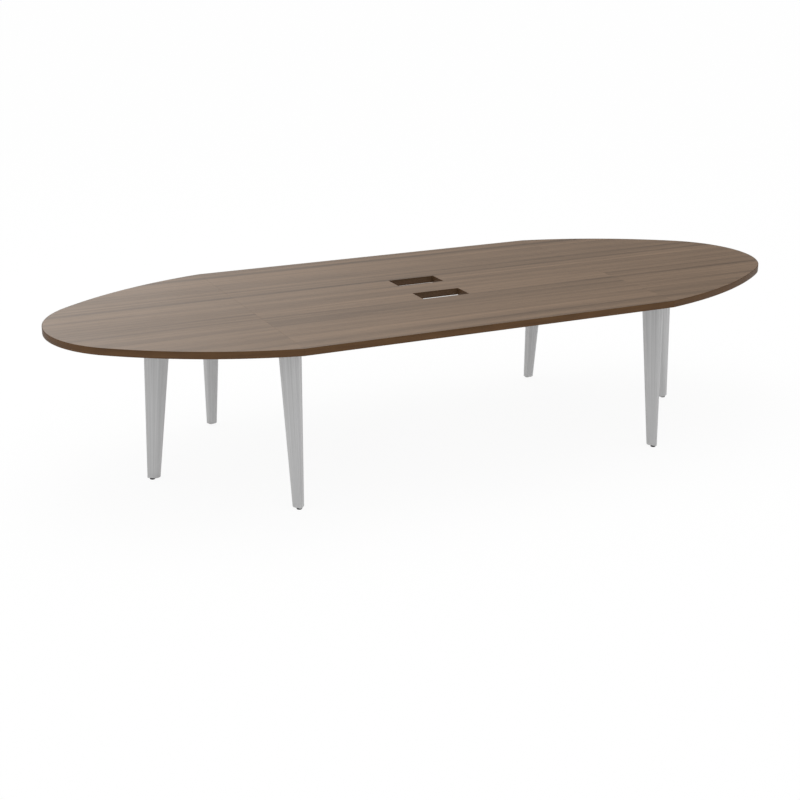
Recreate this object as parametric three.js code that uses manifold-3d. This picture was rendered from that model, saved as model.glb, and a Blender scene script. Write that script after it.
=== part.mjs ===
// Conference table: a boat-shaped laminate top in three panels on six tapered metal legs.
// Millimetres, +Z up, +X along the table, origin on the floor under the middle of the top.

import * as THREE from 'three';
import { mergeVertices } from 'three/addons/utils/BufferGeometryUtils.js';
import Module from 'manifold-3d';

const wasm = await Module();
wasm.setup();

// Top
const topHeight = 750; // floor to the top surface
const topThickness = 31.75;
const topWidth = 1422;
const middleLength = 1830; // straight-sided middle panel, seam to seam
const endLength = 914; // rounded end panel, seam to tip
const endSideRadius = 1765; // long arc along both sides of an end
const endTipRadius = 456; // tighter arc round the tip
const seamGap = 0.4; // between neighbouring panels
const bandThickness = 2; // edge banding
const bandEdgeRadius = 1; // eased corners of the banding
const glueGap = 0.2; // between the banding and its panel

// Cut-outs for power and data units
const cutoutLength = 237; // along the table
const cutoutWidth = 114;
const cutoutOffset = 135; // middle of the table to the middle of a cut-out

// Legs: a teardrop section, a round back and a narrow nose joined by flat flanks
const legHeadBackRadius = 50;
const legHeadNoseRadius = 18;
const legHeadSpan = 55.6; // centre of the back to the centre of the nose
const legFootBackRadius = 25;
const legFootNoseRadius = 8;
const legFootSpan = 27.6;
const legLean = 57.8; // how far the foot stands outwards of the head
const legWall = 3;
const legFootHeight = 10; // floor to the lower end of the column
const sideLegInset = 170; // long edge of the top to the centre of the leg's back, at the head
const endLegInset = 506; // tip of the top to the centre of the leg's back, at the head
const seatGap = 0.2; // between pieces that bear on each other

// Mounting plates on the leg heads
const plateThickness = 5;
const plateLength = 176; // along the nose
const plateWidth = 196;
const plateCornerRadius = 18;
const plateHoleRadius = 3;
const plateHoleInset = 15; // plate edge to the centre of a screw hole

// Levelling glides and the plugs that hold them
const plugHeight = 32;
const plugClearance = 0.3;
const glideForward = 12; // centre of the foot's back to the glide's axis
const glideRadius = 12.5;
const glideRim = 5; // height of the wide lower part
const glideNeckRadius = 8;
const glideChamfer = 1.5;
const studRadius = 4;
const studClearance = 0.2;
const studSeatHeight = 4; // floor to the bottom of the stud's socket
const studLength = 42;
const studChamfer = 1; // on both ends of the stud

// Stiffening rails, a top-hat section folded from sheet, with its flanges screwed to the underside
const railLength = 2360;
const railOffset = 318; // middle of the table to the middle of a rail
const railHeight = 22;
const railCrownWidth = 34;
const railFlange = 20;
const railGauge = 2;
const railBendRadius = 2; // inside of the folds
const railHoleRadius = 2.5;
const railHoleCount = 9; // screw holes along each flange
const railHoleInset = 10; // edge of a flange to its row of holes
const railHoleEndInset = 40; // end of a rail to its first hole

// Seam dowels
const dowelRadius = 6;
const dowelLength = 60;
const dowelClearance = 0.2;
const dowelSpacing = 400;

// Draw bolts with half-moon washers in round pockets
const boltOffset = 215; // middle of the table to a bolt
const boltRadius = 4;
const boltClearance = 0.3;
const boltHeadRadius = 7.5; // across the corners
const boltHeadLength = 5.3;
const boltProjection = 7; // past the plain end's washer
const boltHeight = 10; // underside to the bolt's axis
const pocketRadius = 17.5;
const pocketDepth = 20;
const pocketOffset = 60; // seam to the centre of a pocket
const slotWidth = 12; // between the two pockets
const washerClearance = 0.3;
const washerHeight = 16;

// Facets
const endSideSegments = 14;
const endTipSegments = 34;
const legBackSegments = 22;
const legNoseSegments = 10;
const roundSegments = 20;
const holeSegments = 12;
const plateSegments = 4; // to each quarter turn of a plate's corners
const easeSegments = 2;
const bendSegments = 3;

const underside = topHeight - topThickness;
const seamX = middleLength / 2;
const tipX = seamX + endLength;
const halfWidth = topWidth / 2;
const bandTotal = bandThickness + glueGap;
const legHeadHeight = underside - plateThickness - 2 * seatGap;
const past = 2; // how far a cutting tool runs past a face

const finishes = {
  laminate: { color: 0x8a7a6c, roughness: 0.45, metalness: 0 },
  banding: { color: 0x5a4431, roughness: 0.5, metalness: 0 },
  paint: { color: 0xb4b4b4, roughness: 0.35, metalness: 0.6 },
  steel: { color: 0x8c8f92, roughness: 0.4, metalness: 0.9 },
  glide: { color: 0x2a2a2a, roughness: 0.6, metalness: 0 },
  plug: { color: 0x3a3a3a, roughness: 0.6, metalness: 0 },
  dowel: { color: 0xc9a878, roughness: 0.8, metalness: 0 },
};

const table = new THREE.Group();

function addMesh(parent, name, geometry, finish) {
  const mesh = new THREE.Mesh(geometry, new THREE.MeshStandardMaterial(finishes[finish]));
  mesh.name = name;
  parent.add(mesh);
}

// Closed geometry from vertices and triangles, with its faces turned outwards.
function closedGeometry(vertices, triangles) {
  let volume = 0;
  for (const [a, b, c] of triangles) {
    volume += vertices[a].dot(new THREE.Vector3().crossVectors(vertices[b], vertices[c]));
  }
  const outward = volume > 0 ? triangles : triangles.map(([a, b, c]) => [a, c, b]);
  const geometry = new THREE.BufferGeometry().setFromPoints(vertices);
  geometry.setIndex(outward.flat());
  return geometry;
}

// Skin over rows of points that have one count. Rows or columns that close on themselves wrap round;
// otherwise the first and the last row are capped.
function skin(rows, rowsClose) {
  const count = rows[0].length;
  const vertices = rows.flat();
  const triangles = [];
  const steps = rowsClose ? rows.length : rows.length - 1;
  for (let row = 0; row < steps; row += 1) {
    const next = (row + 1) % rows.length;
    for (let i = 0; i < count; i += 1) {
      const j = (i + 1) % count;
      const corners = [row * count + i, row * count + j, next * count + j, next * count + i];
      triangles.push([corners[0], corners[1], corners[2]]);
      triangles.push([corners[0], corners[2], corners[3]]);
    }
  }
  if (!rowsClose) {
    const last = (rows.length - 1) * count;
    for (let i = 1; i < count - 1; i += 1) {
      triangles.push([0, i + 1, i]);
      triangles.push([last, last + i, last + i + 1]);
    }
  }
  return closedGeometry(vertices, triangles);
}

function toSolid(source) {
  const geometry = source.clone();
  geometry.deleteAttribute('normal');
  geometry.deleteAttribute('uv');
  const merged = mergeVertices(geometry, 1e-4);
  const vertProperties = new Float32Array(merged.attributes.position.array);
  const triVerts = new Uint32Array(merged.index.array);
  return new wasm.Manifold(new wasm.Mesh({ numProp: 3, vertProperties, triVerts }));
}

function toGeometry(solid) {
  const mesh = solid.getMesh();
  const geometry = new THREE.BufferGeometry();
  geometry.setAttribute('position', new THREE.BufferAttribute(mesh.vertProperties, 3));
  geometry.setIndex(new THREE.BufferAttribute(mesh.triVerts, 1));
  return geometry;
}

function cut(geometry, tools) {
  return toGeometry(tools.reduce((solid, tool) => solid.subtract(toSolid(tool)), toSolid(geometry)));
}

function join(geometries) {
  return toGeometry(geometries.map(toSolid).reduce((all, solid) => all.add(solid)));
}

// Flat outline raised from one height to another.
function raised(shape, low, high) {
  const settings = { depth: high - low, bevelEnabled: false, curveSegments: plateSegments / 2 };
  return new THREE.ExtrudeGeometry(shape, settings).translate(0, 0, low);
}

function uprightCylinder(radius, low, high, x, y, segments = roundSegments) {
  const cylinder = new THREE.CylinderGeometry(radius, radius, high - low, segments);
  return cylinder.rotateX(Math.PI / 2).translate(x, y, (low + high) / 2);
}

function lyingCylinder(radius, start, end, y, z, segments = holeSegments) {
  const cylinder = new THREE.CylinderGeometry(radius, radius, end - start, segments);
  return cylinder.rotateZ(Math.PI / 2).translate((start + end) / 2, y, z);
}

function block(xLow, xHigh, yLow, yHigh, zLow, zHigh) {
  const box = new THREE.BoxGeometry(xHigh - xLow, yHigh - yLow, zHigh - zLow);
  return box.translate((xLow + xHigh) / 2, (yLow + yHigh) / 2, (zLow + zHigh) / 2);
}

function revolved(profile) {
  const points = profile.map(([radius, height]) => new THREE.Vector2(radius, height));
  return new THREE.LatheGeometry(points, roundSegments).rotateX(Math.PI / 2);
}

function arcPoints(centre, radius, from, to, segments) {
  const points = [];
  for (let i = 0; i <= segments; i += 1) {
    const angle = from + ((to - from) * i) / segments;
    const spoke = new THREE.Vector2(Math.cos(angle), Math.sin(angle));
    points.push(spoke.multiplyScalar(radius).add(centre));
  }
  return points;
}

// Centre of the long side arc: it passes through the corner at the seam and runs into the tip's arc.
function endSideCentre(tipCentre) {
  const corner = new THREE.Vector2(seamX, halfWidth);
  const along = tipCentre.clone().sub(corner);
  const distance = along.length();
  along.normalize();
  const across = new THREE.Vector2(along.y, -along.x);
  const innerRadius = endSideRadius - endTipRadius;
  const reach = (endSideRadius ** 2 - innerRadius ** 2 + distance ** 2) / (2 * distance);
  const drop = Math.sqrt(endSideRadius ** 2 - reach ** 2);
  return corner.add(along.multiplyScalar(reach)).add(across.multiplyScalar(drop));
}

// Outline of the right end from the rear seam corner round the tip to the front one, moved inwards.
function endOutline(inset) {
  const tipCentre = new THREE.Vector2(tipX - endTipRadius, 0);
  const sideCentre = endSideCentre(tipCentre);
  const toTip = tipCentre.clone().sub(sideCentre).angle();
  const radius = endSideRadius - inset;
  const start = Math.acos((seamX + seamGap / 2 - sideCentre.x) / radius);
  const side = arcPoints(sideCentre, radius, start, toTip, endSideSegments);
  const tip = arcPoints(tipCentre, endTipRadius - inset, toTip, -toTip, endTipSegments);
  const mirrored = side.map((point) => new THREE.Vector2(point.x, -point.y)).reverse();
  return [...side, ...tip.slice(1, -1), ...mirrored];
}

// Section of the banding as pairs of depth behind the visible face and height.
function bandProfile() {
  const profile = [[bandThickness, underside]];
  for (const [height, first] of [[underside + bandEdgeRadius, 0], [topHeight - bandEdgeRadius, 1]]) {
    for (let i = 0; i <= easeSegments; i += 1) {
      const angle = ((first + i / easeSegments) * Math.PI) / 2;
      const depth = bandEdgeRadius * (1 - Math.sin(first ? Math.PI - angle : angle));
      profile.push([depth, height - bandEdgeRadius * Math.cos(angle)]);
    }
  }
  profile.push([bandThickness, topHeight]);
  return profile;
}

// Banding along an open path, capped at both ends.
function openBand(pathAt) {
  const strips = bandProfile().map(([depth, height]) =>
    pathAt(depth).map((point) => new THREE.Vector3(point.x, point.y, height)));
  const rows = strips[0].map((unused, i) => strips.map((strip) => strip[i]));
  return skin(rows, false);
}

// Banding round a rectangular cut-out, facing into it.
function cutoutBand(centreY) {
  const rows = bandProfile().map(([depth, height]) => {
    const x = cutoutLength / 2 + depth;
    const y = cutoutWidth / 2 + depth;
    const corners = [[x, y], [-x, y], [-x, -y], [x, -y]];
    return corners.map(([cx, cy]) => new THREE.Vector3(cx, centreY + cy, height));
  });
  return skin(rows, true);
}

// Pocket pair and slot of one draw bolt across a seam.
function boltRecess(seam, y) {
  const low = underside - past;
  const high = underside + pocketDepth;
  const pockets = [-pocketOffset, pocketOffset].map((offset) =>
    uprightCylinder(pocketRadius, low, high, seam + offset, y));
  const half = slotWidth / 2;
  const slot = block(seam - pocketOffset, seam + pocketOffset, y - half, y + half, low, high);
  return [...pockets, slot];
}

function dowelHole(seam, y) {
  const half = dowelLength / 2 + dowelClearance;
  const z = (underside + topHeight) / 2;
  return lyingCylinder(dowelRadius + dowelClearance, seam - half, seam + half, y, z);
}

const boltPlaces = { front: -boltOffset, rear: boltOffset };
const dowelPlaces = { front: -dowelSpacing, middle: 0, rear: dowelSpacing };

function seamTools(seam) {
  const recesses = Object.values(boltPlaces).flatMap((y) => boltRecess(seam, y));
  const holes = Object.values(dowelPlaces).map((y) => dowelHole(seam, y));
  return [...recesses, ...holes];
}

function addTop() {
  const cutouts = { front: -cutoutOffset, rear: cutoutOffset };
  const halfLength = seamX - seamGap / 2;
  const panelY = halfWidth - bandTotal;
  const openX = cutoutLength / 2 + bandTotal;
  const openY = cutoutWidth / 2 + bandTotal;
  const openings = Object.values(cutouts).map((y) =>
    block(-openX, openX, y - openY, y + openY, underside - past, topHeight + past));
  const middle = block(-halfLength, halfLength, -panelY, panelY, underside, topHeight);
  const middleTools = [...openings, ...seamTools(-seamX), ...seamTools(seamX)];
  addMesh(table, 'top_panel_middle', cut(middle, middleTools), 'laminate');

  for (const [name, y] of Object.entries(cutouts)) {
    addMesh(table, `cutout_band_${name}`, cutoutBand(y), 'banding');
  }
  for (const [name, side] of [['front', -1], ['rear', 1]]) {
    const straight = (depth) => [-halfLength, halfLength].map((x) =>
      new THREE.Vector2(x, side * (halfWidth - depth)));
    addMesh(table, `edge_band_${name}`, openBand(straight), 'banding');
  }
  for (const [name, turn] of [['right', 0], ['left', Math.PI]]) {
    const panel = raised(new THREE.Shape(endOutline(bandTotal)), underside, topHeight);
    addMesh(table, `top_panel_${name}`, cut(panel, seamTools(seamX)).rotateZ(turn), 'laminate');
    addMesh(table, `edge_band_${name}`, openBand(endOutline).rotateZ(turn), 'banding');
  }
}

// Draw bolts, washers and dowels of the seam at one end.
function addSeam(name, seam) {
  const boltZ = underside + boltHeight;
  for (const [place, y] of Object.entries(boltPlaces)) {
    const headStart = seam + pocketOffset + seatGap;
    const shankEnd = seam - pocketOffset - boltProjection;
    const shank = lyingCylinder(boltRadius, shankEnd, headStart + boltHeadLength / 2, y, boltZ);
    const head = lyingCylinder(boltHeadRadius, headStart, headStart + boltHeadLength, y, boltZ, 6);
    addMesh(table, `seam_bolt_${name}_${place}`, join([shank, head]), 'steel');
    for (const [hand, side] of [['left', -1], ['right', 1]]) {
      const centre = seam + side * pocketOffset;
      const outer = pocketRadius - washerClearance;
      const low = boltZ - washerHeight / 2;
      const high = boltZ + washerHeight / 2;
      const disc = uprightCylinder(outer, low, high, centre, y);
      const away = [centre, centre + side * pocketRadius * 2].sort((a, b) => a - b);
      const half = block(away[0], away[1], y - pocketRadius, y + pocketRadius, low - past, high + past);
      const reach = pocketRadius + past;
      const bore = lyingCylinder(boltRadius + boltClearance, centre - reach, centre + reach, y, boltZ);
      addMesh(table, `half_moon_${name}_${place}_${hand}`, cut(disc, [half, bore]), 'steel');
    }
  }
  for (const [place, y] of Object.entries(dowelPlaces)) {
    const z = (underside + topHeight) / 2;
    const dowel = lyingCylinder(dowelRadius, seam - dowelLength / 2, seam + dowelLength / 2, y, z);
    addMesh(table, `seam_dowel_${name}_${place}`, dowel, 'dowel');
  }
}

// Hat section of a rail across the table, its flanges up to one height.
function railOutline(high) {
  const crown = railCrownWidth / 2;
  const brim = crown + railFlange;
  const low = high - railHeight;
  const outerBend = railBendRadius + railGauge;
  const upperFold = new THREE.Vector2(crown + railBendRadius, high - outerBend);
  const lowerFold = new THREE.Vector2(crown - outerBend, low + outerBend);
  const outside = [
    new THREE.Vector2(brim, high),
    new THREE.Vector2(brim, high - railGauge),
    ...arcPoints(upperFold, railBendRadius, Math.PI / 2, Math.PI, bendSegments),
    ...arcPoints(lowerFold, outerBend, 0, -Math.PI / 2, bendSegments),
  ];
  const inside = [
    ...arcPoints(lowerFold, railBendRadius, -Math.PI / 2, 0, bendSegments),
    ...arcPoints(upperFold, outerBend, Math.PI, Math.PI / 2, bendSegments),
  ];
  const mirrored = (points) => points.map((point) => new THREE.Vector2(-point.x, point.y)).reverse();
  return [...outside, ...mirrored(outside), ...mirrored(inside), ...inside];
}

// Screw holes down both flanges of a rail.
function railHoles(high) {
  const endHole = railLength / 2 - railHoleEndInset;
  const row = railCrownWidth / 2 + railFlange - railHoleInset;
  const low = high - railGauge - past;
  const holes = [];
  for (let i = 0; i < railHoleCount; i += 1) {
    const x = endHole * ((2 * i) / (railHoleCount - 1) - 1);
    for (const y of [-row, row]) {
      holes.push(uprightCylinder(railHoleRadius, low, high + past, x, y, holeSegments));
    }
  }
  return holes;
}

function addRails() {
  const high = underside - seatGap;
  const shape = new THREE.Shape(railOutline(high));
  const alongTable = new THREE.Matrix4().makeBasis(
    new THREE.Vector3(0, 1, 0), new THREE.Vector3(0, 0, 1), new THREE.Vector3(1, 0, 0));
  const folded = raised(shape, -railLength / 2, railLength / 2).applyMatrix4(alongTable);
  const rail = cut(folded, railHoles(high));
  for (const [name, side] of [['front', -1], ['rear', 1]]) {
    addMesh(table, `stiffener_${name}`, rail.clone().translate(0, side * railOffset, 0), 'steel');
  }
}

// Teardrop section of a leg at one height, moved inwards by inset. The nose points along +X, and the
// head's back is centred on the leg's own origin.
function legSection(z, inset) {
  const rise = (z - legFootHeight) / (legHeadHeight - legFootHeight);
  const blend = (foot, head) => foot + (head - foot) * rise;
  const back = new THREE.Vector2(blend(legLean, 0), 0);
  const nose = back.clone().setX(back.x + blend(legFootSpan, legHeadSpan));
  const backRadius = blend(legFootBackRadius, legHeadBackRadius) - inset;
  const noseRadius = blend(legFootNoseRadius, legHeadNoseRadius) - inset;
  const turn = Math.acos((backRadius - noseRadius) / (nose.x - back.x));
  const outline = [
    ...arcPoints(nose, noseRadius, -turn, turn, legNoseSegments),
    ...arcPoints(back, backRadius, turn, 2 * Math.PI - turn, legBackSegments),
  ];
  return outline.map((point) => new THREE.Vector3(point.x, point.y, z));
}

function legPlate() {
  const centre = (legHeadSpan + legHeadNoseRadius - legHeadBackRadius) / 2;
  const x = plateLength / 2;
  const y = plateWidth / 2;
  const r = plateCornerRadius;
  const shape = new THREE.Shape();
  shape.absarc(x - r, y - r, r, 0, Math.PI / 2);
  shape.absarc(r - x, y - r, r, Math.PI / 2, Math.PI);
  shape.absarc(r - x, r - y, r, Math.PI, 1.5 * Math.PI);
  shape.absarc(x - r, r - y, r, 1.5 * Math.PI, 2 * Math.PI);
  for (const holeX of [plateHoleInset - x, x - plateHoleInset]) {
    for (const holeY of [plateHoleInset - y, y - plateHoleInset]) {
      shape.holes.push(new THREE.Path().absarc(holeX, holeY, plateHoleRadius, 0, 2 * Math.PI, true));
    }
  }
  const low = underside - seatGap - plateThickness;
  return raised(shape, low, low + plateThickness).translate(centre, 0, 0);
}

// One leg at its place, with the nose turned outwards.
function addLeg(place, x, y, turn) {
  const leg = new THREE.Group();
  leg.position.set(x, y, 0);
  leg.rotation.z = turn;
  const shell = [
    legSection(legFootHeight, 0),
    legSection(legHeadHeight, 0),
    legSection(legHeadHeight, legWall),
    legSection(legFootHeight, legWall),
  ];
  addMesh(leg, `leg_${place}`, skin(shell, true), 'paint');
  addMesh(leg, `leg_plate_${place}`, legPlate(), 'paint');

  const glideX = legLean + glideForward;
  const plugTop = legFootHeight + plugHeight;
  const plugInset = legWall + plugClearance;
  const plug = skin([legSection(legFootHeight, plugInset), legSection(plugTop, plugInset)], false);
  const socketRadius = studRadius + studClearance;
  const threadHole = uprightCylinder(socketRadius, legFootHeight - past, plugTop + past, glideX, 0);
  addMesh(leg, `leg_plug_${place}`, cut(plug, [threadHole]), 'plug');

  const glideTop = legFootHeight - seatGap;
  const shoulder = glideRim + glideChamfer;
  const base = revolved([
    [0, 0],
    [glideRadius - glideChamfer, 0],
    [glideRadius, glideChamfer],
    [glideRadius, glideRim],
    [glideRadius - glideChamfer, shoulder],
    [glideNeckRadius, shoulder],
    [glideNeckRadius, glideTop],
    [socketRadius, glideTop],
    [socketRadius, studSeatHeight],
    [0, studSeatHeight],
  ]);
  addMesh(leg, `glide_base_${place}`, base.translate(glideX, 0, 0), 'glide');
  const studLow = studSeatHeight + seatGap;
  const studTop = studLow + studLength;
  const stud = revolved([
    [0, studLow],
    [studRadius - studChamfer, studLow],
    [studRadius, studLow + studChamfer],
    [studRadius, studTop - studChamfer],
    [studRadius - studChamfer, studTop],
    [0, studTop],
  ]);
  addMesh(leg, `glide_stud_${place}`, stud.translate(glideX, 0, 0), 'steel');
  table.add(leg);
}

function addLegs() {
  const sideY = halfWidth - sideLegInset;
  const endX = tipX - endLegInset;
  addLeg('left_end', -endX, 0, Math.PI);
  addLeg('right_end', endX, 0, 0);
  for (const [hand, x] of [['left', -seamX], ['right', seamX]]) {
    addLeg(`front_${hand}`, x, -sideY, -Math.PI / 2);
    addLeg(`rear_${hand}`, x, sideY, Math.PI / 2);
  }
}

addTop();
addSeam('left', -seamX);
addSeam('right', seamX);
addRails();
addLegs();

export default table;
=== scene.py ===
import math

import bpy
import numpy as np
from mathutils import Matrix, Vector


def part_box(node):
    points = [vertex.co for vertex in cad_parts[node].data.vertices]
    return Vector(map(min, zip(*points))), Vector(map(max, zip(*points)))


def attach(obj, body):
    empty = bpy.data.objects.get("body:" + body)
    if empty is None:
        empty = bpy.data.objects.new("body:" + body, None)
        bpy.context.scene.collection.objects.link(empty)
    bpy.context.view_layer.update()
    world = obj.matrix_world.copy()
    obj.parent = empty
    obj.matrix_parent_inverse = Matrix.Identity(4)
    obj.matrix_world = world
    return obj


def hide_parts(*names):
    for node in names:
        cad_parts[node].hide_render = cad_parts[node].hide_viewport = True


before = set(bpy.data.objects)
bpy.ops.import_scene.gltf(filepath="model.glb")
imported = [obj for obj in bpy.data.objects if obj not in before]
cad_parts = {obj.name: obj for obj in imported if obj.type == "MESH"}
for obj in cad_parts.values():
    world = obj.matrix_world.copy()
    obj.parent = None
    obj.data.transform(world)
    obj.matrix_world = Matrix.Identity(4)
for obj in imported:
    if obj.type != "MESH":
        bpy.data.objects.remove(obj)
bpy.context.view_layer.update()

panelLow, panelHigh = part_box("top_panel_middle")
surfaceZ, undersideZ = panelHigh.z, panelLow.z
legPlaces = ["left_end", "right_end", "front_left", "front_right", "rear_left", "rear_right"]
fullTurn, quarterTurn = 2 * math.pi, math.pi / 2
noiseSpan = (0.3, 0.7)  # where most values of a noise lie
print("frame loaded:", len(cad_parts), "nodes")


# Surfaces: every new piece is a grid of points, or several copies of one grid

def gridPiece(name, grids, body, wrapRows=False, wrapColumns=False, lengths=None, sharpDegrees=40):
    # grids is copies x rows x columns x 3: a cell is a face, and rows that don't wrap get a cap at each end.
    # lengths gives the UV along the rows and the columns, one value more than cells.
    copies, rows, columns = grids.shape[:3]
    cellRows, cellColumns = rows - (not wrapRows), columns - (not wrapColumns)
    k, r, c = np.meshgrid(np.arange(copies), np.arange(cellRows), np.arange(cellColumns), indexing="ij")
    nextC = (c + 1) % columns
    first, second = (k * rows + r) * columns, (k * rows + (r + 1) % rows) * columns
    quads = np.stack([first + c, first + nextC, second + nextC, second + c], axis=-1).reshape(-1, 4)
    points = grids.reshape(-1, 3)
    p0, p1, p2, p3 = (points[quads[:, i]] - points.mean(axis=0) for i in range(4))
    outward = np.sum(p0 * (np.cross(p1, p2) + np.cross(p2, p3))) > 0  # the sign of the volume inside
    faces = (quads if outward else quads[:, ::-1]).tolist()
    if not wrapRows:
        ends = np.arange(copies)[:, None] * rows * columns + np.arange(columns)
        step = 1 if outward else -1
        faces += ends[:, ::-step].tolist() + (ends + (rows - 1) * columns)[:, ::step].tolist()
    mesh = bpy.data.meshes.new(name)
    mesh.from_pydata(points.tolist(), [], faces)
    mesh.polygons.foreach_set("use_smooth", np.ones(len(faces), dtype=bool))
    mesh.set_sharp_from_angle(angle=math.radians(sharpDegrees))
    if lengths is not None:
        along, around = lengths
        corners = [(r, c), (r, c + 1), (r + 1, c + 1), (r + 1, c)]
        uv = np.stack([np.stack([along[i], around[j]], axis=-1) for i, j in corners], axis=-2)
        uv = uv.reshape(-1, 4, 2)
        uv = uv if outward else uv[:, ::-1]
        allUv = np.zeros((len(mesh.loops), 2))  # caps keep zero
        allUv[:uv.size // 2] = uv.reshape(-1, 2)
        mesh.uv_layers.new(name="alongPiece").data.foreach_set("uv", allUv.ravel())
    piece = bpy.data.objects.new(name, mesh)
    bpy.context.scene.collection.objects.link(piece)
    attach(piece, body)
    return piece


def running(points):
    # distance travelled along a line of points
    return np.concatenate([[0.0], np.cumsum(np.linalg.norm(np.diff(points, axis=0), axis=1))])


def arc(centre, radius, start, end, steps):
    # points at equal angles round a centre
    angle = np.linspace(start, end, steps + 1)
    return np.stack([centre[0] + radius * np.cos(angle), centre[1] + radius * np.sin(angle)], axis=1)


def easedProfile(corners, back, steps=4):
    # each inner corner becomes a quadratic curve between the points a distance back along its two edges
    p = np.array(corners)
    before, middle, after = p[:-2], p[1:-1], p[2:]
    toBefore = (before - middle) / np.linalg.norm(before - middle, axis=1, keepdims=True)
    toAfter = (after - middle) / np.linalg.norm(after - middle, axis=1, keepdims=True)
    t = np.linspace(0, 1, steps + 1)[None, :, None]
    start, end = (middle + toBefore * back)[:, None], (middle + toAfter * back)[:, None]
    curve = (1 - t) ** 2 * start + 2 * t * (1 - t) * middle[:, None] + t ** 2 * end
    return np.concatenate([p[:1], curve.reshape(-1, 2), p[-1:]])


def revolved(profile, centre, columns):
    # radius and height pairs swept round an upright axis
    angle = np.linspace(0, fullTurn, columns, endpoint=False)
    radius, height = profile[:, :1], profile[:, 1:]
    x, y = centre[0] + radius * np.cos(angle), centre[1] + radius * np.sin(angle)
    return np.stack([x, y, np.broadcast_to(height, x.shape)], axis=-1)[None]


# Node helpers for the materials

def newFinish(name, **values):
    # values that hold all over go straight onto the shader's own sockets
    material = bpy.data.materials.new(name)
    material.use_nodes = True
    shader = material.node_tree.nodes["Principled BSDF"]
    for socket, value in values.items():
        shader.inputs[socket.replace("_", " ")].default_value = value
    return material, material.node_tree, shader


def addNode(tree, kind, inputs=None, **settings):
    # a socket given as an input is linked, and a plain value is set
    node = tree.nodes.new(kind)
    for key, value in settings.items():
        setattr(node, key, value)
    for key, value in (inputs or {}).items():
        if isinstance(value, bpy.types.NodeSocket):
            tree.links.new(value, node.inputs[key])
        else:
            node.inputs[key].default_value = value
    return node


def noise(tree, place, scale, shift=(0.0, 0.0, 0.0), detail=2.0, rough=0.5, twist=0.0):
    # noise with its own scale on each axis, so that it can draw out into fibres
    mapped = addNode(tree, "ShaderNodeMapping", {"Vector": place, "Location": shift, "Scale": scale})
    values = {"Vector": mapped.outputs[0], "Scale": 1.0, "Detail": detail, "Roughness": rough}
    values["Distortion"] = twist
    return addNode(tree, "ShaderNodeTexNoise", values).outputs[0]


def calc(tree, operation, a, b=0.0):
    # one sum on two values, or on one
    return addNode(tree, "ShaderNodeMath", {0: a, 1: b}, operation=operation).outputs[0]


def blended(tree, values, shares):
    # each value times its share, added up
    total = 0.0
    for value, share in zip(values, shares):
        total = calc(tree, "ADD", total, calc(tree, "MULTIPLY", value, share))
    return total


def stretch(tree, value, low, high, to=(0.0, 1.0), kind="SMOOTHSTEP"):
    # a step from one value to another, smooth or straight
    inputs = {"Value": value, "From Min": low, "From Max": high, "To Min": to[0], "To Max": to[1]}
    return addNode(tree, "ShaderNodeMapRange", inputs, interpolation_type=kind).outputs[0]


def mixColour(tree, factor, a, b):
    # straight mix from colour a to colour b
    node = addNode(tree, "ShaderNodeMix", data_type="RGBA")
    for index, value in ((0, factor), (6, a), (7, b)):
        if isinstance(value, bpy.types.NodeSocket):
            tree.links.new(value, node.inputs[index])
        else:
            node.inputs[index].default_value = value if index == 0 else (*value, 1.0)
    return node.outputs[2]


def ramp(tree, factor, stops):
    # colours at given positions, straight lines between them
    node = addNode(tree, "ShaderNodeValToRGB", {"Fac": factor})
    elements = node.color_ramp.elements
    while len(elements) < len(stops):
        elements.new(0.5)
    for element, (position, colour) in zip(elements, stops):
        element.position = position
        element.color = (*colour, 1.0)
    return node.outputs[0]


def bumpFrom(tree, shader, height, strength, distance):
    # tilts the surface by the slope of a height
    bump = addNode(tree, "ShaderNodeBump", {"Height": height, "Strength": strength, "Distance": distance})
    tree.links.new(bump.outputs[0], shader.inputs["Normal"])


def objectPlace(tree):
    # metres in the shared frame
    return addNode(tree, "ShaderNodeTexCoord").outputs["Object"]


def alongPiece(tree):
    # the piece's own UV, in metres along and around it
    return addNode(tree, "ShaderNodeUVMap", uv_map="alongPiece").outputs[0]


def axisOf(tree, place, axis):
    # one coordinate of a place or direction
    return addNode(tree, "ShaderNodeSeparateXYZ", {0: place}).outputs[axis]


def wear(piece, material):
    # the piece's only material
    piece.data.materials.clear()
    piece.data.materials.append(material)


# Laminate panels: printed grain on top, plain backer below, chipboard in the pockets

laminate = dict(
    mean=(0.216, 0.143, 0.091), contrast=1.90, specular=0.95, roughness=0.29, smudge=0.05,
    skin=0.0005,  # thickness of the printed face
    pitch=0.41, wander=0.016, drift=(0.7, 2.0, 1.0),
    calm=(0.64, 0.68), evenTone=0.5,  # distances from the centreline over which the repeat evens out
    profile=[(0.0, 0.50), (0.08, 0.50), (0.14, 0.75), (0.17, 0.70), (0.185, 0.50), (0.2025, 0.05),
             (0.222, 0.46), (0.267, 0.52), (0.2875, 0.0), (0.308, 0.44), (0.34, 0.46), (0.41, 0.50)],
    line=(0.35, 36.0, 1.0), blotch=(2.6, 14.0, 1.0), fibre=(2.4, 190.0, 1.0), pore=(20.0, 700.0, 1.0),
    cloud=(1.7, 2.3, 1.0), shares=(0.28, 0.64, 0.08),  # of repeat, lines and blotches
    fibreDepth=0.06, poreSpan=(0.60, 0.72), poreDepth=0.30, poreRough=0.2, bump=(0.10, 0.0003),
    backer=((0.100, 0.078, 0.060), (0.130, 0.102, 0.080)), hiddenRough=0.8,
    core=((0.26, 0.18, 0.10), (0.50, 0.37, 0.23)), chip=420.0,
    shifts=dict(left=(0.16, 0.0, 0.0), middle=(0.0, 0.0, 0.0), right=(-0.16, 0.0, 0.0)))


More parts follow.
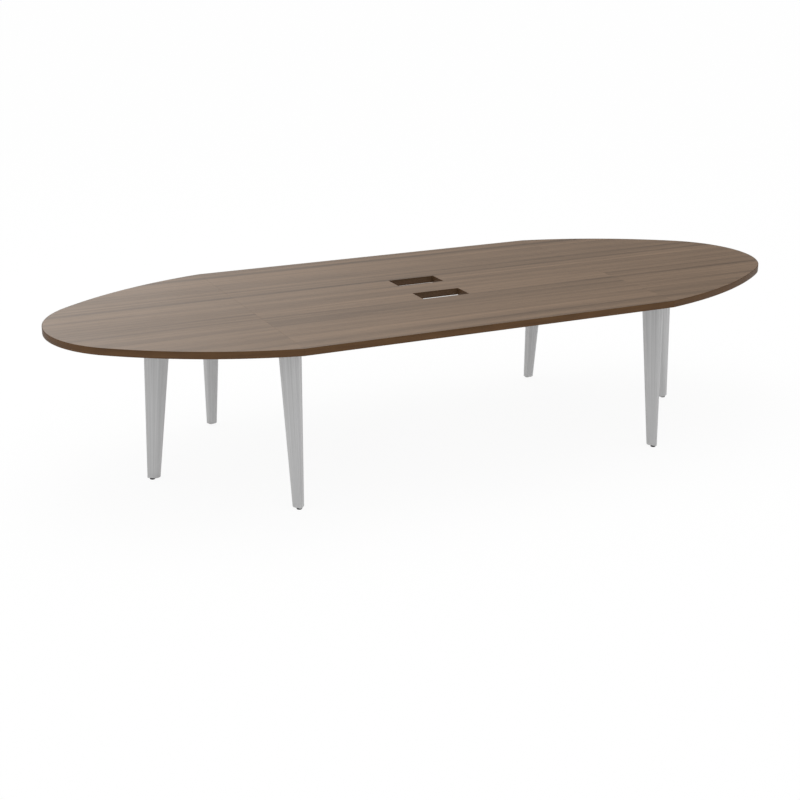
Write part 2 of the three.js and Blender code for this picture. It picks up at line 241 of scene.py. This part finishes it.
def laminateFinish(name, shift, bookMatched):
    # tone adds up a repeat across the table (two dark lines and a pale band), lengthwise lines and blotches.
    # A book-matched panel mirrors the repeat about the centreline. It evens out at the long edges.
    # Height picks the printed face, the core or the backer.
    material, tree, shader = newFinish(name, Specular_IOR_Level=laminate["specular"])
    place = objectPlace(tree)
    sideways, height = axisOf(tree, place, "Y"), axisOf(tree, place, "Z")
    fromMiddle = calc(tree, "ABSOLUTE", sideways)
    across = fromMiddle if bookMatched else sideways
    drift = calc(tree, "MULTIPLY", noise(tree, place, laminate["drift"], shift), laminate["wander"])
    across = calc(tree, "ADD", calc(tree, "SUBTRACT", across, laminate["wander"] / 2), drift)
    pitch = laminate["pitch"]
    within = calc(tree, "DIVIDE", calc(tree, "FLOORED_MODULO", across, pitch), pitch)
    repeat = ramp(tree, within, [(q / pitch, (tone,) * 3) for q, tone in laminate["profile"]])
    calm = stretch(tree, fromMiddle, *laminate["calm"])
    repeat = mixColour(tree, calm, repeat, (laminate["evenTone"],) * 3)
    line = noise(tree, place, laminate["line"], shift, detail=2.5, rough=0.85, twist=0.1)
    blotch = noise(tree, place, laminate["blotch"], shift, detail=2.0)
    fibre = noise(tree, place, laminate["fibre"], shift, detail=3.0, rough=0.65)
    tone = blended(tree, (repeat, line, blotch), laminate["shares"])
    depth = laminate["fibreDepth"]
    tone = calc(tree, "ADD", tone, stretch(tree, fibre, *noiseSpan, (-depth, depth)))
    swing = 0.5 * laminate["contrast"]
    dark, light = (tuple(c * (1 + k) for c in laminate["mean"]) for k in (-swing, swing))
    face = ramp(tree, tone, [(0.0, dark), (1.0, light)])
    pore = noise(tree, place, laminate["pore"], shift, detail=1.0)
    poreMask = stretch(tree, pore, *laminate["poreSpan"], (0.0, laminate["poreDepth"]))
    face = mixColour(tree, poreMask, face, dark)

    backer = mixColour(tree, fibre, *laminate["backer"])
    chips = addNode(tree, "ShaderNodeTexVoronoi", {"Vector": place, "Scale": laminate["chip"]})
    chip = addNode(tree, "ShaderNodeSeparateColor", {0: chips.outputs["Color"]}).outputs[0]
    core = mixColour(tree, chip, *laminate["core"])
    onTop = calc(tree, "GREATER_THAN", height, surfaceZ - laminate["skin"])
    below = calc(tree, "LESS_THAN", height, undersideZ + laminate["skin"])
    colour = mixColour(tree, onTop, mixColour(tree, below, core, backer), face)
    tree.links.new(colour, shader.inputs["Base Color"])

    cloud = noise(tree, place, laminate["cloud"], shift, detail=2.0)
    satin = laminate["roughness"]
    gloss = stretch(tree, cloud, *noiseSpan, (satin, satin + laminate["smudge"]))
    gloss = calc(tree, "ADD", gloss, calc(tree, "MULTIPLY", poreMask, laminate["poreRough"]))
    hidden = calc(tree, "MULTIPLY", calc(tree, "SUBTRACT", 1.0, onTop), laminate["hiddenRough"])
    tree.links.new(calc(tree, "MAXIMUM", gloss, hidden), shader.inputs["Roughness"])
    bumpFrom(tree, shader, calc(tree, "SUBTRACT", fibre, poreMask), *laminate["bump"])
    return material


for end, shift in laminate["shifts"].items():
    wear(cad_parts["top_panel_" + end], laminateFinish("laminate_" + end, shift, end == "middle"))
print("panels finished")


# Edge banding round the outline and in the cut-outs, with eased corners

band = dict(
    thick=0.002, ease=0.001, easeSteps=5, sideRadius=1.765, tipRadius=0.456, sideSteps=60, tipSteps=110,
    tones=((0.068, 0.032, 0.011), (0.086, 0.042, 0.015), (0.104, 0.053, 0.021)), stops=(0.35, 0.5, 0.65),
    worn=(0.125, 0.075, 0.042), wornReach=(0.0014, 0.0004), wornSpan=(0.45, 0.7), wornDepth=(0.1, 0.7),
    edge=(1.0, 1.0, 1.0), liningShadeTint=(0.74, 0.80, 1.0),  # tints of the outline's strips and of the cut-outs'; the cut-outs' darker, cooler tint is painted shade
    roughness=0.55, roughSwing=0.06, specular=0.18, bump=(0.12, 0.0003),
    grain=(2.2, 260.0, 1.0), mottle=(9.0, 40.0, 1.0), shares=(0.55, 0.45))


def bandProfile():
    # depth and height round the strip's section: quarter circles ease the two visible corners
    turn = np.linspace(0, quarterTurn, band["easeSteps"] + 1)
    r = band["ease"]
    lower = np.stack([r - r * np.sin(turn), undersideZ + r - r * np.cos(turn)], axis=1)
    upper = np.stack([r - r * np.cos(turn), surfaceZ - r + r * np.sin(turn)], axis=1)
    return np.concatenate([[[band["thick"], undersideZ]], lower, upper, [[band["thick"], surfaceZ]]])


def bandFinish(name, tint):
    # grain runs along the strip by its UV; the eased upper corner is rubbed a little paler
    material, tree, shader = newFinish(name, Specular_IOR_Level=band["specular"])
    place = alongPiece(tree)
    grain = noise(tree, place, band["grain"], detail=3.0, rough=0.6, twist=0.3)
    mottle = noise(tree, place, band["mottle"], detail=3.0)
    tone = blended(tree, (grain, mottle), band["shares"])
    tints = (tuple(c * s for c, s in zip(shade, tint)) for shade in band["tones"])
    colour = ramp(tree, tone, list(zip(band["stops"], tints)))
    upper = running(bandProfile())[-2] - band["ease"] * math.pi / 4  # middle of the upper eased corner
    off = calc(tree, "ABSOLUTE", calc(tree, "SUBTRACT", axisOf(tree, place, "Y"), upper))
    patchy = stretch(tree, mottle, *band["wornSpan"], band["wornDepth"])
    rubbed = calc(tree, "MULTIPLY", stretch(tree, off, *band["wornReach"]), patchy)
    tree.links.new(mixColour(tree, rubbed, colour, band["worn"]), shader.inputs["Base Color"])
    span = (band["roughness"] - band["roughSwing"], band["roughness"] + band["roughSwing"])
    tree.links.new(stretch(tree, mottle, *noiseSpan, span), shader.inputs["Roughness"])
    bumpFrom(tree, shader, grain, *band["bump"])
    return material


edgeMaterial = bandFinish("walnutEdge", band["edge"])
# the cut-outs' strips: the same walnut made darker and cooler, as painted shade inside the openings
shadedLiningMaterial = bandFinish("walnutLiningShaded", band["liningShadeTint"])


def endPath(depth):
    # outline of the right end at a depth behind its face: a long side arc, the tip's arc, the side mirrored
    low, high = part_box("edge_band_right")
    corner = np.array([(panelHigh.x + low.x) / 2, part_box("edge_band_rear")[1].y])
    tipCentre = np.array([high.x - band["tipRadius"], 0.0])
    distance = np.linalg.norm(tipCentre - corner)
    along = (tipCentre - corner) / distance
    across = np.array([along[1], -along[0]])
    bigR, innerR = band["sideRadius"], band["sideRadius"] - band["tipRadius"]
    reach = (bigR ** 2 - innerR ** 2 + distance ** 2) / (2 * distance)
    sideCentre = corner + along * reach + across * math.sqrt(bigR ** 2 - reach ** 2)
    toTip = math.atan2(*(tipCentre - sideCentre)[::-1])
    start = math.acos((low.x - sideCentre[0]) / (bigR - depth))
    side = arc(sideCentre, bigR - depth, start, toTip, band["sideSteps"])
    tip = arc(tipCentre, band["tipRadius"] - depth, toTip, -toTip, band["tipSteps"])
    return np.concatenate([side, tip[1:-1], side[::-1] * (1, -1)])


def straightPath(side):
    # the two ends of a long side, moved inwards by the depth
    low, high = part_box("edge_band_" + side)
    face, inward = (low.y, 1) if side == "front" else (high.y, -1)
    return lambda depth: np.array([[low.x, face + inward * depth], [high.x, face + inward * depth]])


def cutoutPath(side):
    # four corners round a cut-out, moved outwards by the depth behind the visible face
    low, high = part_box("cutout_band_" + side)

    def corners(depth):
        grow = depth - band["thick"]
        x0, x1, y0, y1 = low.x - grow, high.x + grow, low.y - grow, high.y + grow
        return np.array([[x0, y0], [x1, y0], [x1, y1], [x0, y1]])
    return corners


def edgeStrip(name, node, pathAt, closed=False):
    # the section carried along the path: each column of the grid is the path at that corner's own depth
    profile = bandProfile()
    paths = np.stack([pathAt(depth) for depth in profile[:, 0]], axis=1)
    heights = np.broadcast_to(profile[:, 1:], paths.shape[:2] + (1,))
    grid = np.concatenate([paths, heights], axis=2)[None]
    line = np.concatenate([paths[:, 1], paths[:1, 1]]) if closed else paths[:, 1]
    lengths = running(line), running(np.concatenate([profile, profile[:1]]))
    piece = gridPiece(name, grid, "table", closed, True, lengths, sharpDegrees=50)
    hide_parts(node)
    # closed strips line the cut-outs and wear the darker copy, painted shade
    wear(piece, shadedLiningMaterial if closed else edgeMaterial)


for side in ("front", "rear"):
    edgeStrip("edgeStrip_" + side, "edge_band_" + side, straightPath(side))
    edgeStrip("cutoutStrip_" + side, "cutout_band_" + side, cutoutPath(side), True)
edgeStrip("edgeStrip_right", "edge_band_right", endPath)
edgeStrip("edgeStrip_left", "edge_band_left", lambda depth: -endPath(depth))
print("edge banding made")


# Legs: a teardrop section that grows from the foot to the head, in brushed silver paint

leg = dict(
    headBack=0.050, headNose=0.018, headSpan=0.0556, footBack=0.025, footNose=0.008, footSpan=0.0276,
    lean=0.0578, glideForward=0.012, wall=0.003,
    ease=0.0008, easeSteps=4, backSteps=64, noseSteps=32, rows=24,
    colour=(0.490, 0.490, 0.492), shade=(0.385, 0.385, 0.387), toneSpan=(0.32, 0.68),
    metallic=0.40, specular=0.30, roughness=0.36, roughSwing=0.05, bump=(0.10, 0.0002),
    brush=(180.0, 1.2, 1.0), hairline=(1500.0, 5.0, 1.0), shares=(0.75, 0.25),  # wide lines and hairlines
    peel=900.0, cloud=(7.0, 7.0, 3.0),
    scuff=(0.30, 0.295, 0.29), scuffTop=0.05, scuffSpan=(0.5, 0.75), scuffDepth=(0.0, 0.6))


def paintFinish(name, brushed):
    # silver coat: lengthwise brush lines from the UV on the legs, a fine pebbled skin, scuffs low down
    material, tree, shader = newFinish(name, Metallic=leg["metallic"], Specular_IOR_Level=leg["specular"])
    place = objectPlace(tree)
    peel = noise(tree, place, (leg["peel"],) * 3, detail=1.0)
    cloud = noise(tree, place, leg["cloud"], detail=3.0)
    line = cloud
    if brushed:
        uv = alongPiece(tree)
        wide = noise(tree, uv, leg["brush"], detail=3.0, rough=0.65)
        hair = noise(tree, uv, leg["hairline"], detail=2.0)
        line = blended(tree, (wide, hair), leg["shares"])
    colour = mixColour(tree, stretch(tree, line, *leg["toneSpan"]), leg["shade"], leg["colour"])
    nearFloor = stretch(tree, axisOf(tree, place, "Z"), leg["scuffTop"], 0.0)
    patchy = stretch(tree, cloud, *leg["scuffSpan"], leg["scuffDepth"])
    scuffed = mixColour(tree, calc(tree, "MULTIPLY", nearFloor, patchy), colour, leg["scuff"])
    tree.links.new(scuffed, shader.inputs["Base Color"])
    span = (leg["roughness"] + leg["roughSwing"], leg["roughness"] - leg["roughSwing"])
    tree.links.new(stretch(tree, line, *noiseSpan, span), shader.inputs["Roughness"])
    bumpFrom(tree, shader, calc(tree, "ADD", peel, line), *leg["bump"])
    return material


legMaterial = paintFinish("brushedSilver", True)
plateMaterial = paintFinish("silverPlate", False)


def footCentre(place):
    # middle of the glide's base, seen from above
    low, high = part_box("glide_base_" + place)
    return np.array([(low.x + high.x) / 2, (low.y + high.y) / 2])


def legFrame(place):
    # the leg's own origin under the back of its head, and the way its nose points
    foot = footCentre(place)
    outwards = np.array([1.0, 0.0]) if "end" in place else np.array([0.0, 1.0])
    nose = outwards * math.copysign(1.0, foot @ outwards)
    return foot - nose * (leg["lean"] + leg["glideForward"]), nose


def teardrop(rise, inset):
    # at a share of the height: the nose's arc, then the back's arc, tangent to the flat flanks between them
    def blend(foot, head):
        return leg[foot] + (leg[head] - leg[foot]) * rise
    backX = leg["lean"] * (1 - rise)
    noseX = backX + blend("footSpan", "headSpan")
    backR, noseR = blend("footBack", "headBack") - inset, blend("footNose", "headNose") - inset
    turn = math.acos((backR - noseR) / (noseX - backX))
    nose = arc((noseX, 0.0), noseR, -turn, turn, leg["noseSteps"])
    back = arc((backX, 0.0), backR, turn, fullTurn - turn, leg["backSteps"])
    return np.concatenate([nose, back])


def legShell(place):
    # rows of teardrops round the eased foot, up the outside, over the head and down the inside
    low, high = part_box("leg_" + place)
    ease, wall = leg["ease"], leg["wall"]
    turn = np.linspace(0, quarterTurn, leg["easeSteps"] + 1)
    foot = np.stack([low.z + ease - ease * np.cos(turn), ease - ease * np.sin(turn)], axis=1)
    climb = np.linspace(low.z + ease, high.z, leg["rows"])[1:]
    outside = np.stack([climb, 0 * climb], axis=1)
    rows = np.concatenate([foot, outside, [[high.z, wall], [low.z, wall]]])  # height and inset of each row
    origin, nose = legFrame(place)
    side = np.array([-nose[1], nose[0]])
    sections = np.stack([teardrop((z - low.z) / (high.z - low.z), inset) for z, inset in rows])
    flat = origin + sections[..., :1] * nose + sections[..., 1:] * side
    heights = np.broadcast_to(rows[:, :1, None], flat.shape[:2] + (1,))
    grid = np.concatenate([flat, heights], axis=2)[None]
    middle = sections[len(rows) // 2]
    lengths = running(np.concatenate([rows, rows[:1]])), running(np.concatenate([middle, middle[:1]]))
    piece = gridPiece("legShell_" + place, grid, "table", True, True, lengths)
    mesh = piece.data
    uv = np.empty(len(mesh.loops) * 2)
    mesh.uv_layers[0].data.foreach_get("uv", uv)
    mesh.uv_layers[0].data.foreach_set("uv", uv.reshape(-1, 2)[:, ::-1].ravel())  # across first, then up
    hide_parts("leg_" + place)
    wear(piece, legMaterial)


for place in legPlaces:
    legShell(place)
    wear(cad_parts["leg_plate_" + place], plateMaterial)
print("legs made")


# Levelling glides: a turned nylon foot on a threaded stud

glide = dict(radius=0.0125, rim=0.005, neck=0.008, chamfer=0.0015, socket=0.0042, seat=0.004,
             hub=0.001, ease=0.0006, columns=64)  # the hub is the small flat in the middle
stud = dict(crest=0.0040, root=0.0034, pitch=0.00125, chamfer=0.001, rowsPerTurn=8, columns=36)
plain = dict(roughSwing=0.08, bump=(0.10, 0.0002), dustTop=0.006)


def plainFinish(name, tones, scale, roughness, metallic=0.0, dust=None):
    # two close tones mixed by noise, which also moves the roughness and a slight bump; dust settles low down
    material, tree, shader = newFinish(name, Metallic=metallic)
    place = objectPlace(tree)
    grain = noise(tree, place, scale, detail=4.0, rough=0.6)
    colour = mixColour(tree, stretch(tree, grain, *noiseSpan), *tones)
    if dust:
        settled = stretch(tree, axisOf(tree, place, "Z"), plain["dustTop"], 0.0)
        colour = mixColour(tree, calc(tree, "MULTIPLY", settled, grain), colour, dust)
    tree.links.new(colour, shader.inputs["Base Color"])
    span = (roughness - plain["roughSwing"], roughness + plain["roughSwing"])
    tree.links.new(stretch(tree, grain, *noiseSpan, span), shader.inputs["Roughness"])
    bumpFrom(tree, shader, grain, *plain["bump"])
    return material


nylonMaterial = plainFinish("blackNylon", ((0.011, 0.011, 0.011), (0.021, 0.021, 0.021)),
                            (350.0, 350.0, 350.0), roughness=0.55, dust=(0.055, 0.052, 0.048))
zincMaterial = plainFinish("zincPlate", ((0.40, 0.41, 0.42), (0.58, 0.59, 0.60)),
                           (90.0, 160.0, 160.0), roughness=0.38, metallic=0.9)
railMaterial = plainFinish("galvanisedRail", ((0.36, 0.37, 0.38), (0.52, 0.53, 0.54)),
                           (14.0, 70.0, 70.0), roughness=0.45, metallic=0.85)
plugMaterial = plainFinish("plugPlastic", ((0.03, 0.03, 0.03), (0.05, 0.05, 0.05)),
                           (240.0, 240.0, 240.0), roughness=0.6)
beechMaterial = plainFinish("beechDowel", ((0.48, 0.32, 0.16), (0.64, 0.46, 0.26)),
                            (30.0, 420.0, 420.0), roughness=0.7)


def glideFoot(place):
    # a stepped profile with eased corners, turned round the glide's axis
    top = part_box("glide_base_" + place)[1].z
    radius, chamfer, hub = glide["radius"], glide["chamfer"], glide["hub"]
    shoulder = glide["rim"] + chamfer
    corners = [(hub, 0.0), (radius - chamfer, 0.0), (radius, chamfer), (radius, glide["rim"]),
               (radius - chamfer, shoulder), (glide["neck"], shoulder), (glide["neck"], top),
               (glide["socket"], top), (glide["socket"], glide["seat"]), (hub, glide["seat"])]
    grid = revolved(easedProfile(corners, glide["ease"]), footCentre(place), glide["columns"])
    body = place + "_glide"
    piece = gridPiece("glideFoot_" + place, grid, body, wrapColumns=True, sharpDegrees=60)
    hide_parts("glide_base_" + place)
    wear(piece, nylonMaterial)


def glideStud(place):
    # radius is a triangular wave of height less turn, so its ridge climbs one pitch a turn; both ends taper
    low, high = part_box("glide_stud_" + place)
    rows = int((high.z - low.z) / stud["pitch"] * stud["rowsPerTurn"])
    z = np.linspace(low.z, high.z, rows)[:, None]
    angle = np.linspace(0, fullTurn, stud["columns"], endpoint=False)[None]
    phase = ((z - low.z) / stud["pitch"] - angle / fullTurn) % 1.0
    radius = stud["root"] + (stud["crest"] - stud["root"]) * (1 - np.abs(2 * phase - 1))
    fromEnd = np.minimum(z - low.z, high.z - z)
    radius = np.minimum(radius, stud["crest"] - stud["chamfer"] + fromEnd)
    centre = footCentre(place)
    x, y = centre[0] + radius * np.cos(angle), centre[1] + radius * np.sin(angle)
    grid = np.stack([x, y, np.broadcast_to(z, radius.shape)], axis=-1)[None]
    body = place + "_glide"
    piece = gridPiece("threadedStud_" + place, grid, body, wrapColumns=True, sharpDegrees=50)
    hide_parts("glide_stud_" + place)
    wear(piece, zincMaterial)


for place in legPlaces:
    glideFoot(place)
    glideStud(place)
    wear(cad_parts["leg_plug_" + place], plugMaterial)
print("glides made")


# Seam hardware, rails and the screws that hold the rails and plates

screw = dict(head=0.0048, dome=0.0026, shank=0.0021, length=0.018, point=0.004, ease=0.0005, easeSteps=2,
             crown=0.9, crownSteps=14, hub=0.0002, columns=32,  # the crown is the share of the dome used
             recess=0.0016, armWidth=0.0007, armLength=0.0027, sidePower=4, endPower=8)
railScrews = dict(count=9, endInset=0.040, edgeInset=0.010, gauge=0.002, turn=2.3)
plateScrews = dict(edgeInset=0.015, turn=1.7)


def screwHead():
    # a domed head turned round its axis, hanging point up, less a cross recess that fades out across each arm
    head, shank, hub, length = screw["head"], screw["shank"], screw["hub"], screw["length"]
    out = np.linspace(hub, head, screw["crownSteps"])
    dome = -screw["dome"] * np.sqrt(1 - (screw["crown"] * out / head) ** 2)
    crown = np.stack([out, dome], axis=1)
    corners = [crown[-1], (head, 0.0), (shank, 0.0), (shank, length - screw["point"]), (hub, length)]
    rest = easedProfile(corners, screw["ease"], screw["easeSteps"])
    grid = revolved(np.concatenate([crown, rest[1:]]), (0.0, 0.0), screw["columns"])[0]
    x, y = np.abs(grid[..., 0]), np.abs(grid[..., 1])
    arm = np.exp(-(np.minimum(x, y) / screw["armWidth"]) ** screw["sidePower"])
    arm = arm * np.exp(-(np.maximum(x, y) / screw["armLength"]) ** screw["endPower"])
    grid[:len(out), :, 2] += screw["recess"] * arm[:len(out)]
    return grid


def screwSet(name, places, turn):
    # copies of the one screw, each turned a step further about its axis than the last
    one = screwHead()
    places = np.array(places)
    turns = (turn * np.arange(len(places)))[:, None, None]
    x, y = one[None, ..., 0], one[None, ..., 1]
    turnedX = x * np.cos(turns) - y * np.sin(turns)
    turnedY = x * np.sin(turns) + y * np.cos(turns)
    heights = np.broadcast_to(one[None, ..., 2], turnedX.shape)
    grids = np.stack([turnedX, turnedY, heights], axis=-1) + places[:, None, None]
    piece = gridPiece(name, grids, "table", wrapColumns=True, sharpDegrees=45)
    wear(piece, zincMaterial)


def cornersOf(low, high, inset):
    # the four corners of a box seen from above, moved inwards
    return [(x, y) for x in (low.x + inset, high.x - inset) for y in (low.y + inset, high.y - inset)]


platePlaces = []
for place in legPlaces:
    low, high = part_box("leg_plate_" + place)
    platePlaces += [(x, y, low.z) for x, y in cornersOf(low, high, plateScrews["edgeInset"])]
screwSet("plateScrews", platePlaces, plateScrews["turn"])

railPlaces = []
for side in ("front", "rear"):
    low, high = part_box("stiffener_" + side)
    inset = railScrews["endInset"]
    along = np.linspace(low.x + inset, high.x - inset, railScrews["count"])
    rows = (low.y + railScrews["edgeInset"], high.y - railScrews["edgeInset"])
    railPlaces += [(x, y, high.z - railScrews["gauge"]) for x in along for y in rows]
screwSet("railScrews", railPlaces, railScrews["turn"])

for nodeName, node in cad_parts.items():
    if nodeName.startswith(("seam_bolt", "half_moon")):
        wear(node, zincMaterial)
    elif nodeName.startswith("stiffener"):
        wear(node, railMaterial)
    elif nodeName.startswith("seam_dowel"):
        wear(node, beechMaterial)
print("hardware made")


# Stage: a pale floor, a soft studio that is dimmer in reflections, and one lamp

stage = dict(
    floorSize=60.0, floorShade=0.96, whiteShare=0.92,
    floorGlow=0.26,  # for diffuse rays only, lights the legs from below
    skyStrength=0.86, leftGain=0.25, leftWay=(-0.95, -0.3, 0.0),
    aside=0.45,  # level in reflections, except behind the table
    fadeBehind=(-0.1, 0.3), fadeFrom=20.4,  # there it follows the stops below, from left to right
    fade=[(0.12, 0.45), (0.27, 1.0), (0.38, 1.0), (0.476, 0.50), (0.554, 0.22), (0.65, 0.11), (0.90, 0.45)],
    lampPlace=(-0.5, 1.5, 6.0), lampSize=5.0, lampWatts=70.0)
view = dict(place=(-3.0076, -6.1163, 2.4761), pitch=18.617, yaw=25.054, focal=66.04, sensor=36.0, far=500.0)


def seenDirectly(tree):
    # 1 for camera, glossy and transmitted rays, 0 for the rays that light the object
    path = addNode(tree, "ShaderNodeLightPath")
    either = calc(tree, "MAXIMUM", path.outputs["Is Camera Ray"], path.outputs["Is Glossy Ray"])
    return calc(tree, "MAXIMUM", either, path.outputs["Is Transmission Ray"])


def byRay(tree, lighting, seen):
    # one shader for the rays that light the object, another for those that see it
    inputs = {0: seenDirectly(tree), 1: lighting.outputs[0], 2: seen.outputs[0]}
    return addNode(tree, "ShaderNodeMixShader", inputs).outputs[0]


def mattAndGlow(tree, shade, glow):
    # a matt grey plus an even glow
    matt = addNode(tree, "ShaderNodeBsdfDiffuse", {"Color": (shade, shade, shade, 1.0)})
    lit = addNode(tree, "ShaderNodeEmission", {"Strength": glow})
    return addNode(tree, "ShaderNodeAddShader", {0: matt.outputs[0], 1: lit.outputs[0]})


def makeFloor():
    # a square at height 0, pale to the light; to the camera mostly white, with a faint shadow in the rest
    s = stage["floorSize"]
    mesh = bpy.data.meshes.new("floor")
    mesh.from_pydata([(-s, -s, 0.0), (s, -s, 0.0), (s, s, 0.0), (-s, s, 0.0)], [], [[0, 1, 2, 3]])
    piece = bpy.data.objects.new("floor", mesh)
    bpy.context.scene.collection.objects.link(piece)
    material = bpy.data.materials.new("floor")
    material.use_nodes = True
    tree = material.node_tree
    tree.nodes.clear()
    lighting = mattAndGlow(tree, stage["floorShade"], stage["floorGlow"])
    seen = mattAndGlow(tree, 1 - stage["whiteShare"], stage["whiteShare"])
    addNode(tree, "ShaderNodeOutputMaterial", {"Surface": byRay(tree, lighting, seen)})
    wear(piece, material)


def dot(tree, a, b):
    # how far one direction points along another
    return addNode(tree, "ShaderNodeVectorMath", {0: a, 1: b}, operation="DOT_PRODUCT").outputs["Value"]


def makeSky():
    # the camera sees white, diffuse rays a level that rises to the left, and reflections a dimmer studio
    world = bpy.data.worlds.new("studio")
    world.use_nodes = True
    bpy.context.scene.world = world
    tree = world.node_tree
    tree.nodes.clear()
    way = addNode(tree, "ShaderNodeTexCoord").outputs["Generated"]
    turn = math.radians(stage["fadeFrom"])
    rightward = dot(tree, way, (math.cos(turn), -math.sin(turn), 0.0))
    stops = [(at, (level,) * 3) for at, level in stage["fade"]]
    fade = ramp(tree, stretch(tree, rightward, -1.0, 1.0, kind="LINEAR"), stops)
    behind = stretch(tree, axisOf(tree, way, "Y"), *stage["fadeBehind"])
    mirrored = mixColour(tree, behind, (stage["aside"],) * 3, fade)
    leftward = stretch(tree, dot(tree, way, stage["leftWay"]), 0.0, 1.0, (0.0, stage["leftGain"]))
    bright = calc(tree, "ADD", leftward, stage["skyStrength"])
    path = addNode(tree, "ShaderNodeLightPath")
    level = calc(tree, "MAXIMUM", path.outputs["Is Camera Ray"], mirrored)
    soft = addNode(tree, "ShaderNodeBackground", {"Color": (1.0,) * 4, "Strength": bright})
    seen = addNode(tree, "ShaderNodeBackground", {"Color": (1.0,) * 4, "Strength": level})
    addNode(tree, "ShaderNodeOutputWorld", {"Surface": byRay(tree, soft, seen)})


def makeLamp():
    # one large soft disk above and a little behind, aimed at the origin
    data = bpy.data.lights.new("overhead", "AREA")
    data.energy, data.shape, data.size = stage["lampWatts"], "DISK", stage["lampSize"]
    lamp = bpy.data.objects.new("overhead", data)
    lamp.location = stage["lampPlace"]
    lamp.rotation_euler = (-Vector(stage["lampPlace"])).to_track_quat("-Z", "Y").to_euler()
    bpy.context.scene.collection.objects.link(lamp)


def makeCamera():
    # at the photograph's place, tipped down by the pitch and turned right by the yaw
    data = bpy.data.cameras.new("camera")
    data.sensor_width, data.lens, data.clip_end = view["sensor"], view["focal"], view["far"]
    camera = bpy.data.objects.new("camera", data)
    camera.location = view["place"]
    camera.rotation_euler = (math.radians(90 - view["pitch"]), 0.0, math.radians(-view["yaw"]))
    bpy.context.scene.collection.objects.link(camera)
    bpy.context.scene.camera = camera


makeFloor()
makeSky()
makeLamp()
makeCamera()
bpy.context.scene.view_settings.view_transform = "Standard"
print("stage made")
